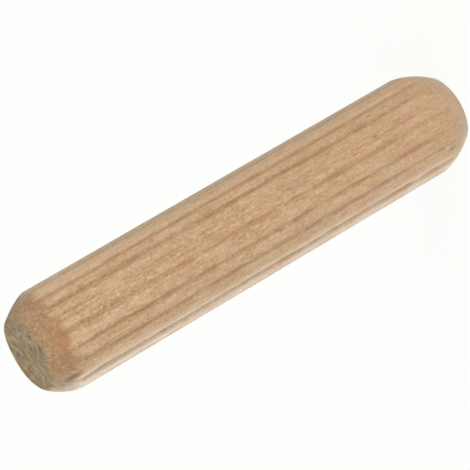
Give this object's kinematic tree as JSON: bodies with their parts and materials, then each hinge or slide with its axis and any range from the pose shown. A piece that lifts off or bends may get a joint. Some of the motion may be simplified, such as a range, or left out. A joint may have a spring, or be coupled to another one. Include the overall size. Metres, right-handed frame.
{
  "type": "dowel pin",
  "caption": "Fluted wooden dowel pin with chamfered ends, for joining two boards end to end or at a corner with glue.",
  "frame": {"origin": "middle of the bottom end face, on which the pin stands", "axes": "+Z along the pin's axis, from the bottom end with the longer chamfer to the top end with the shorter one; -Y is the front, from which the flute angles are counted"},
  "size_m": [0.0082, 0.0082, 0.04],
  "materials": {
    "beech": "bare turned beech, dry and matt, with a light burnish on the lands"
  },
  "bodies": {
    "root": {"dowel_pin": "beech"}
  },
  "joints": []
}
